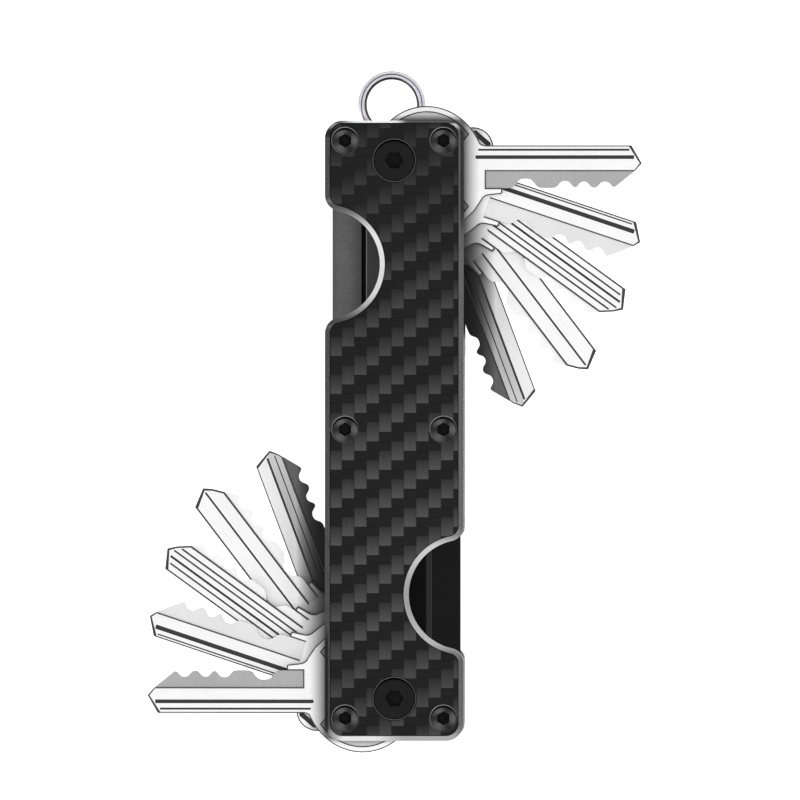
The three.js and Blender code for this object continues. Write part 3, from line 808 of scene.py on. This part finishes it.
# A pivot head from its underside: the flank, a thin raised rim, a groove inside it, then the flat face.
PIVOT_HEAD_PROFILE = [
    (PIVOT_HEAD - 0.06, 0.0), (PIVOT_HEAD, 0.06), (PIVOT_HEAD, HEAD_TOP - 0.16),
    (PIVOT_HEAD - 0.04, HEAD_TOP - 0.04), (PIVOT_HEAD - 0.1, HEAD_TOP), (PIVOT_HEAD - 0.17, HEAD_TOP),
    (PIVOT_HEAD - 0.22, HEAD_TOP - 0.05), (PIVOT_HEAD - 0.24, HEAD_TOP - 0.4),
    (PIVOT_HEAD - 0.34, HEAD_TOP - 0.4), (PIVOT_HEAD - 0.38, HEAD_TOP - 0.16),
    (PIVOT_HEAD - 0.46, HEAD_TOP - 0.12), (1.92, HEAD_TOP - 0.12), (1.88, HEAD_TOP - 0.16),
    (1.8, HEAD_TOP - 0.15),
]
for end, y in PIVOTS.items():
    front_z = FRONT_PLATE_Z + PLATE_THICKNESS
    screw_profile = [
        (SCREW_SHANK_RADIUS - 0.1, -SCREW_SHANK_LENGTH), (SCREW_SHANK_RADIUS, 0.1 - SCREW_SHANK_LENGTH),
        (SCREW_SHANK_RADIUS, 0.0), *PIVOT_HEAD_PROFILE,
    ]
    materials = [PIVOT_STEEL, SOCKET, PIVOT_RIM_HIGHLIGHT]
    screw = turned(f"{end}_pivot_screw_fine", screw_profile, materials, (0, y, front_z),
                   rim_from=PIVOT_HEAD - 0.25, socket=PIVOT_SCREW_SOCKET)
    install(screw, f"{end}_pivot_screw")
    low, high = box_mm(f"{end}_pivot_barrel")
    length = high[2] - low[2]
    # the barrel is made head up, so its tube runs down from the head to the open bore
    barrel_profile = [
        (BARREL_BORE_RADIUS, HEAD_TOP - length + BARREL_BORE_DEPTH),
        (BARREL_BORE_RADIUS, HEAD_TOP - length), (BARREL_RADIUS - 0.08, HEAD_TOP - length),
        (BARREL_RADIUS, HEAD_TOP - length + 0.08), (BARREL_RADIUS, 0.0), *PIVOT_HEAD_PROFILE,
    ]
    barrel = turned(f"{end}_pivot_barrel_fine", barrel_profile, materials, (0, y, low[2] + HEAD_TOP), True,
                    rim_from=PIVOT_HEAD - 0.25, socket=BARREL_SOCKET)
    install(barrel, f"{end}_pivot_barrel")


def flat_ring(node, inner, outer, edge=0.05):
    low, high = box_mm(node)
    x, y, z = middle(node)
    half = (high[2] - low[2]) / 2
    profile = [
        (inner, -half + edge), (inner + edge, -half), (outer - edge, -half), (outer, -half + edge),
        (outer, half - edge), (outer - edge, half), (inner + edge, half), (inner, half - edge),
    ]
    install(turned(node + "_fine", profile, [WASHER_STEEL], (x, y, z)), node)


for end in PIVOTS:
    for level in range(1, 7):
        flat_ring(f"{end}_washer_{level}", WASHER_INNER, WASHER_OUTER)
    flat_ring(f"{end}_pivot_spacer", WASHER_INNER, SPACER_OUTER, edge=0.1)


# ---- side stops, ring post and keeper
def plate_piece(node, outline, material, edge, holes=()):
    low, high = box_mm(node)
    shell = Shell()
    section = [(edge, low[2]), (0.0, low[2] + edge), (0.0, high[2] - edge), (edge, high[2])]
    rings = [shell.ring(shrunk(outline, inset), z) for inset, z in section]
    shell.walls(rings)
    bores = [shell.tube(hole, low[2], high[2]) for hole in holes]
    shell.close(rings, bores)
    install(shell.piece(node + "_fine", [material], sharp=30), node)


def slot_outline(low, high):
    radius = (high[0] - low[0]) / 2
    x = (low[0] + high[0]) / 2
    return arc(x, low[1] + radius, radius, -math.pi, 0, 16) + arc(x, high[1] - radius, radius, 0, math.pi, 16)


for node in ("side_stop_left", "side_stop_right"):
    plate_piece(node, slot_outline(*box_mm(node)), LINER, edge=0.08)

post_x, post_y, _ = middle("ring_post")
plate_piece("ring_post", circle(post_x, post_y, RING_POST_RADIUS, 32), WASHER_STEEL, edge=0.05)


def keeper_outline():
    pivot_radius, tip_radius = WASHER_OUTER, RING_POST_RADIUS + 0.05
    spread = math.acos((pivot_radius - tip_radius) / (post_y - PIVOT_Y))
    up = math.pi / 2
    tip = arc(post_x, post_y, tip_radius, up - spread, up + spread, 16)
    return tip + arc(0, PIVOT_Y, pivot_radius, up + spread, up - spread + TURN, 48)


plate_piece("ring_keeper", keeper_outline(), WASHER_STEEL, edge=0.06,
            holes=[circle(0, PIVOT_Y, WASHER_INNER)])


# ---- split ring
# The upper half of one coil's rolled section, from its inner edge outwards: (radius, height over the middle).
COIL_INNER_SLOPE = [(4.53, -0.1), (4.56, 0.02), (4.92, 0.36)]
COIL_CROWN = [(4.98, 0.4), (5.36, 0.38), (5.42, 0.34)]
COIL_GROOVE = [(5.48, 0.24), (5.54, 0.34)]
COIL_OUTER_EDGE = [(5.6, 0.39), (5.95, 0.37), (6.05, 0.3), (6.1, 0.15), (6.1, -0.15)]
COIL_TOP = COIL_INNER_SLOPE + COIL_CROWN + COIL_GROOVE + COIL_OUTER_EDGE
COIL_LIFT = 0.43
# The wire, counted in turns from the step between its coils: where it starts, ends and climbs.
WIRE_START = 0.05
WIRE_END = 1.95
CLIMB_START = 0.955
CLIMB_LENGTH = 0.09
STEP_DIRECTION = -0.13 * TURN


def ring_piece():
    """Two flat coils of one wire, with the step from the lower to the upper at the ring's lower right."""
    x, y, z = middle("split_ring")
    section = COIL_TOP + [(r, -h) for r, h in reversed(COIL_TOP[1:-1])]
    middle_radius = (COIL_TOP[0][0] + COIL_TOP[-1][0]) / 2
    count = int((WIRE_END - WIRE_START) * 144)
    shell = Shell()
    rings = []
    for i in range(count + 1):
        turn = WIRE_START + (WIRE_END - WIRE_START) * i / count
        angle = STEP_DIRECTION + turn * TURN
        rise = min(1.0, max(0.0, (turn - CLIMB_START) / CLIMB_LENGTH))
        level = (-1 + 2 * (3 * rise**2 - 2 * rise**3)) * COIL_LIFT
        # the last few degrees at each end are ground thinner
        taper = min(1.0, 0.72 + min(turn - WIRE_START, WIRE_END - turn) / 0.015)
        loop = []
        for radius, height in section:
            r = middle_radius + (radius - middle_radius) * (0.5 + taper / 2)
            h = level + height * taper
            loop.append(shell.bm.verts.new((r * math.cos(angle) * MM, r * math.sin(angle) * MM, h * MM)))
        rings.append(loop)
    shell.walls(rings)
    for last in (rings[0], rings[-1]):
        shell.bm.faces.new(last)
    # painted shade: the inner slope and the rolled groove take the dark ring material
    for face in shell.bm.faces:
        reach = sum(v.co.xy.length for v in face.verts) / len(face.verts) / MM
        face.material_index = 1 if reach < 4.9 or 5.4 < reach < 5.56 else 0
    return shell.piece("split_ring_fine", [RING_STEEL, RING_SHADE], sharp=40, place=(x, y, z))


install(ring_piece(), "split_ring", "split_ring")


# ---- keys
# Local frame: the blade runs along +X from the pivot hole, spine towards +Y, as in the CAD part.
# mill is where the milled strip starts below the spine; grooves are (depth below the spine, width);
# uncut is how many of the cuts nearest the shoulder are left out.
KEY_SHAPES = [
    {"swing": 0.0, "spine": 2.7, "reach": 44.55, "bow": (5.8, -1.8), "mill": 4.66, "bevel": 0.22,
     "grooves": [(0.8, 0.36), (2.12, 0.66)], "milled": KEY_MILLED},
    {"swing": 18.5, "spine": 3.28, "reach": 46.65, "bow": (6.2, -1.2), "mill": 4.32, "bevel": 0.25,
     "lobe": True, "grooves": [(0.6, 0.24), (1.78, 0.78)], "milled": KEY_MILLED_PALE},
    {"swing": 36.0, "spine": 5.67, "reach": 49.1, "bow": (6.2, 0.6), "mill": 6.17, "bevel": 0.32,
     "grooves": [(1.4, 0.3), (2.5, 0.4), (3.7, 0.3), (4.73, 0.32)], "milled": KEY_MILLED_WHITE},
    {"swing": 52.7, "spine": 8.05, "reach": 51.1, "bow": (5.8, 2.0), "mill": 5.93, "bevel": 0.34,
     "grooves": [(3.12, 0.34)], "milled": KEY_MILLED_WHITE},
    {"swing": 69.5, "spine": 9.11, "reach": 49.7, "bow": (5.4, 2.6), "mill": 5.1, "bevel": 0.22,
     "grooves": [(2.45, 0.4), (3.84, 0.2)], "milled": KEY_MILLED_SHADED, "face": KEY_FACE_BANDED, "uncut": 1},
]
BOW_HALF_LENGTH = 10.6
BOW_HALF_WIDTH = 11.6
BLADE_HEIGHT = 7.7
KEY_HOLE = 2.65
SHOULDER_FROM_TIP = 28.1
# Neck and stop: distance past the shoulder and height over the cut edge.
NECK = [(-4.35, -6.2), (-3.3, -5.38), (-2.0, -4.1), (-1.1, -2.76), (-0.55, -1.85), (-0.05, -1.45),
        (0.5, -1.3), (2.8, -1.05), (2.95, -0.9), (2.95, 0.0)]
NECK_ANGLE = 1.65 * math.pi
LOBE_FROM_BOW = (6.4, 7.8)
LOBE_RADIUS = 3.75
# Where the bow's outline begins when a lobe follows it, and the two ends of the lobe's own arc.
LOBE_BOW_START = 0.375 * math.pi
LOBE_ARC = (-0.345 * math.pi, 0.695 * math.pi)
# The slot in the lobe: its first end from the lobe's middle, its run, radius and depth.
LOBE_SLOT_START = (-0.4, 2.7)
LOBE_SLOT_RUN = (2.8, -1.15)
LOBE_SLOT_RADIUS = 0.45
LOBE_SLOT_DEPTH = 0.6
MILL_RECESS = 0.3
# The sunk panels of a bow: depth, width of the rim left round them, inner radius and angles they run between.
PANEL_DEPTH = 0.18
PANEL_RIM = 0.95
PANEL_INNER_RADIUS = 7.8
PANEL_ANGLES = (37.5, 142.5)
# How far towards the bow a groove starts before the shoulder, and from which width it counts as wide.
GROOVE_RUN_IN = 1.4
WIDE_GROOVE_RUN_IN = 1.9
WIDE_GROOVE = 0.6
# How much lower than the front grooves the rear ones lie.
REAR_GROOVE_DROP = 0.3
# The bitting, as (distance from the tip, half width, depth) of each cut.
CUTS = [(21.0, 2.6, 1.7), (13.85, 1.8, 1.25), (10.45, 1.5, 1.2), (6.65, 1.65, 1.2)]
# The cut tip, as (distance back from the reach, depth below the spine).
TIP_TOP = (1.85, 0.0)
TIP_POINT = (0.0, 3.25)
TIP_LOW = (1.15, 4.55)
TIP_FOOT = (4.5, 7.2)
# The extra chamfer on the tip at the spine, and the share of it that is left at the point.
TIP_CHAMFER = 0.36
TIP_CHAMFER_LEAST = 0.3


def tip_back(below):
    """How far back from the reach the tip's edge is, at a depth below the spine."""
    corners = [TIP_TOP, TIP_POINT, TIP_LOW, TIP_FOOT]
    for (x0, y0), (x1, y1) in zip(corners, corners[1:]):
        if below <= y1:
            return x0 + (x1 - x0) * (below - y0) / (y1 - y0)
    return TIP_FOOT[0]


def tip_chamfer(below):
    """The extra chamfer at a depth below the spine."""
    share = min(1.0, max(0.0, 1.0 - below / TIP_POINT[1]))
    return TIP_CHAMFER * (TIP_CHAMFER_LEAST + (1.0 - TIP_CHAMFER_LEAST) * share)


def on_tip(key, x, y):
    """Whether a point of the outline is one of the tip's two upper corners."""
    return x > key["reach"] - TIP_TOP[0] - 1.0 and y > key["spine"] - TIP_POINT[1] - 0.2


def cut_edge(reach, edge, cuts):
    """The bitting from the shoulder to the tip, each cut a smooth dip."""
    points = []
    for from_tip, half, depth in cuts:
        x0 = reach - from_tip
        points.append((x0 - half, edge))
        for k in range(1, 12):
            t = -1 + 2 * k / 12
            dip = min(1.0, (1 - abs(t)) * 1.35)
            points.append((x0 + t * half, edge + depth * (0.5 - 0.5 * math.cos(math.pi * dip))))
        points.append((x0 + half, edge))
    return points


def rounded(points, spacing=0.2, passes=7):
    """An open line with its corners worn round."""
    dense = []
    for (ax, ay), (bx, by) in zip(points, points[1:]):
        count = max(1, round(math.hypot(bx - ax, by - ay) / spacing))
        dense += [(ax + (bx - ax) * i / count, ay + (by - ay) * i / count) for i in range(count)]
    dense.append(points[-1])
    for _ in range(passes):
        inner = [
            ((a[0] + 2 * b[0] + c[0]) / 4, (a[1] + 2 * b[1] + c[1]) / 4)
            for a, b, c in zip(dense, dense[1:], dense[2:])
        ]
        dense = [dense[0], *inner, dense[-1]]
    return dense


def main_outline(key):
    """Bow, neck and the unmilled upper part of the blade."""
    spine, reach, bow, mill = key["spine"], key["reach"], key["bow"], key["mill"]
    edge = spine - BLADE_HEIGHT
    shoulder = reach - SHOULDER_FROM_TIP
    start = LOBE_BOW_START if "lobe" in key else math.asin((spine + 0.35 - bow[1]) / BOW_HALF_WIDTH)
    head = [(bow[0] + BOW_HALF_LENGTH * x, bow[1] + BOW_HALF_WIDTH * y)
            for x, y in arc(0, 0, 1, start, NECK_ANGLE, 90)]
    corners = [corner for corner in (TIP_LOW, TIP_POINT, TIP_TOP) if corner[1] < mill - 0.1]
    tip = [(reach - back, spine - below) for back, below in corners]
    outline = head + [(shoulder + past, edge + over) for past, over in NECK] + [
        (shoulder, edge),
        (shoulder, spine - mill),
        (reach - tip_back(mill), spine - mill),
        *tip,
        (shoulder - 0.1, spine),
    ]
    if "lobe" in key:
        return outline + arc(bow[0] + LOBE_FROM_BOW[0], bow[1] + LOBE_FROM_BOW[1], LOBE_RADIUS, *LOBE_ARC, 30)
    return outline + [(shoulder - 0.6, spine + 0.12)]


def milled_outline(key):
    spine, reach, mill = key["spine"], key["reach"], key["mill"]
    edge = spine - BLADE_HEIGHT
    shoulder = reach - SHOULDER_FROM_TIP
    under = 0.3
    return [
        (shoulder - under, spine - mill + under),
        *rounded([
            (shoulder - under, edge),
            *cut_edge(reach, edge, CUTS[key.get("uncut", 0):]),
            (reach - TIP_FOOT[0], edge + 0.45),
            (reach - tip_back(mill) - 0.1, spine - mill - 0.1),
        ]),
        (reach - tip_back(mill) - 0.35, spine - mill + under),
    ]


def groove_loop(x0, x1, y, width):
    """A long slot with its round start nearest the bow."""
    radius = width / 2
    return arc(x0 + radius, y, radius, TURN / 4, 3 * TURN / 4, 10) + [(x1, y - radius), (x1, y + radius)]


def capsule(first, last, radius):
    """A straight slot with round ends, from first to last."""
    along = math.atan2(last[1] - first[1], last[0] - first[0])
    q = TURN / 4
    return arc(*last, radius, along - q, along + q, 8) + arc(*first, radius, along + q, along + 3 * q, 8)


def bow_panel(bow, sign):
    """The sunk panel between the bow's rim and its middle: part of a ring above or below the hole."""
    first, last = (math.radians(angle) for angle in PANEL_ANGLES)

    def edge(half_length, half_width, start, end):
        part = arc(0, 0, 1, start, end, 28)
        return [(bow[0] + half_length * x, bow[1] + sign * half_width * y) for x, y in part]

    outer = edge(BOW_HALF_LENGTH - PANEL_RIM, BOW_HALF_WIDTH - PANEL_RIM, first, last)
    inner = edge(PANEL_INNER_RADIUS, PANEL_INNER_RADIUS, last, first)
    return (outer + inner) if sign > 0 else (outer + inner)[::-1]


def sunk(shell, loop, face_z, depth, wall_slot, floor_slot, slope=0.03):
    """Sinks a loop into a face: walls down to a floor. Returns the loop's ring on the face."""
    top = shell.ring(loop, face_z)
    bottom = shell.ring(shrunk(loop, slope), face_z - depth)
    shell.wall(top, bottom, wall_slot)
    shell.cap([bottom], floor_slot)
    return top


# A key's materials, by their slots on the mesh.
FACE, MILLED, PANEL, GROOVE, EDGE = range(5)


def key_piece(name, key, thickness, place, spin):
    spine, reach, bow = key["spine"], key["reach"], key["bow"]
    shoulder = reach - SHOULDER_FROM_TIP
    shell = Shell()
    outline = main_outline(key)
    bevel = key["bevel"]
    section = [(bevel, 0.0), (0.03, 0.04), (0.0, bevel), (0.0, thickness - bevel), (0.03, thickness - 0.04),
               (bevel, thickness)]
    rings = []
    for inset, z in section:
        loop = shrunk(outline, inset)
        if inset == bevel:
            loop = [(x - tip_chamfer(spine - y), y) if on_tip(key, x, y) else (x, y) for x, y in loop]
        rings.append(shell.ring(loop, z))
    shell.walls(rings[:3], slot=EDGE)
    shell.walls(rings[2:4], slot=FACE)
    shell.walls(rings[3:], slot=EDGE)
    hole_low, hole_high = shell.tube(circle(0, 0, KEY_HOLE), 0.0, thickness)
    front = [rings[-1], hole_high]
    rear = [rings[0], hole_low]
    for below, width in key["grooves"]:
        start = shoulder - (WIDE_GROOVE_RUN_IN if width > WIDE_GROOVE else GROOVE_RUN_IN)
        depth = 0.15 + 0.5 * width
        clear = 0.25 + 1.4 * bevel + tip_chamfer(below)
        loop = groove_loop(start, reach - tip_back(below) - clear, spine - below, width)
        front.append(sunk(shell, loop, thickness, depth, GROOVE, GROOVE))
        # the rear grooves lie a little lower than the front ones
        lower = below + REAR_GROOVE_DROP
        loop = groove_loop(start, reach - tip_back(lower) - clear - 0.15, spine - lower, width)
        rear.append(sunk(shell, loop, 0.0, -depth, GROOVE, GROOVE))
    if "lobe" in key:
        first = [b + lobe + start for b, lobe, start in zip(bow, LOBE_FROM_BOW, LOBE_SLOT_START)]
        last = [a + run for a, run in zip(first, LOBE_SLOT_RUN)]
        slot = capsule(first, last, LOBE_SLOT_RADIUS)
        front.append(sunk(shell, slot, thickness, LOBE_SLOT_DEPTH, GROOVE, GROOVE))
    for sign in (1, -1):
        panel = bow_panel(bow, sign)
        front.append(sunk(shell, panel, thickness, PANEL_DEPTH, GROOVE, PANEL, slope=0.2))
        rear.append(sunk(shell, panel, 0.0, -PANEL_DEPTH, GROOVE, PANEL, slope=0.2))
    shell.cap(front)
    shell.cap(rear)
    if key["milled"] is not KEY_MILLED:
        # the wall at the strip's blind end is no darker than the strip
        for face in shell.bm.faces:
            x, y, z = face.calc_center_median() / MM
            at_end = abs(x - shoulder) < 0.4 and spine - BLADE_HEIGHT + 0.05 < y < spine - key["mill"] - 0.05
            if face.material_index == EDGE and at_end:
                face.material_index = MILLED
    # the milled strip is thinner and carries the bitting
    milled = milled_outline(key)
    strip = [(0.05, MILL_RECESS), (0.0, MILL_RECESS + 0.05), (0.0, thickness - MILL_RECESS - 0.05),
             (0.05, thickness - MILL_RECESS)]
    rings = [shell.ring(shrunk(milled, inset), z) for inset, z in strip]
    shell.walls(rings, slot=MILLED)
    shell.cap([rings[0]], MILLED)
    shell.cap([rings[-1]], MILLED)
    materials = [key.get("face", KEY_FACE), key["milled"], KEY_PANEL, KEY_GROOVE_SHADE, KEY_EDGE_SHADE]
    return shell.piece(name, materials, sharp=25, place=place, spin=spin)


for level, key in enumerate(KEY_SHAPES, 1):
    for end, y in PIVOTS.items():
        node = f"{end}_key_{level}"
        low, high = box_mm(node)
        spin = -math.radians(key["swing"]) + (math.pi if end == "bottom" else 0.0)
        piece = key_piece(node + "_fine", key, high[2] - low[2], (0, y, low[2]), spin)
        install(piece, node, node)


# ---- floor, light
FLOOR_HALF = 3.0
FLOOR_Z = -0.0002
SOFTBOX_WIDTH = 0.5
SOFTBOX_HEIGHT = 0.7
SOFTBOX_POWER = 1.6


def floor_piece():
    mesh = bpy.data.meshes.new("floor")
    corners = [(-1, -1), (1, -1), (1, 1), (-1, 1)]
    mesh.from_pydata([(x * FLOOR_HALF, y * FLOOR_HALF, FLOOR_Z) for x, y in corners], [], [(0, 1, 2, 3)])
    paint = Paint("floor_paint", color=(0.93, 0.93, 0.93), roughness=0.9, specular=0.1)
    paint.set("Emission Color", (1, 1, 1, 1))
    paint.set("Emission Strength", 0.8)
    mesh.materials.append(paint.material)
    obj = put("floor", mesh)


def softbox(name, place):
    """A soft lamp that faces the middle of the part."""
    data = bpy.data.lights.new(name, "AREA")
    data.shape = "RECTANGLE"
    data.size = SOFTBOX_WIDTH
    data.size_y = SOFTBOX_HEIGHT
    data.energy = SOFTBOX_POWER
    obj = put(name, data)
    obj.location = place
    obj.rotation_euler = Vector(place).to_track_quat("Z", "Y").to_euler()


def studio_world():
    """Soft white dome: even overhead, and low down bright in front, dim at the right and nearly dark else."""
    world = bpy.data.worlds.new("studio")
    bpy.context.scene.world = world
    world.use_nodes = True
    dome = Wiring(world.node_tree)
    x, y, z = dome.axes(dome.node("TexCoord").outputs["Generated"])
    high = dome.ease(z, 0.30, 0.80)
    right = dome.ease(x, 0.1, 0.9, 0.0, 0.3)
    front = dome.ease(y, -0.25, -0.9, 0.0, 0.95)
    low_light = dome.math("ADD", dome.math("ADD", right, front), 0.07)
    strength = dome.math("ADD", high, dome.product(low_light, dome.less_from_one(high)))
    background = world.node_tree.nodes["Background"]
    background.inputs["Color"].default_value = (1, 1, 1, 1)
    world.node_tree.links.new(strength, background.inputs["Strength"])


floor_piece()
studio_world()
softbox("overhead_left", (-0.75, -0.35, 0.9))
softbox("overhead_right", (0.75, -0.3, 0.85))
bpy.context.scene.view_settings.view_transform = "Standard"
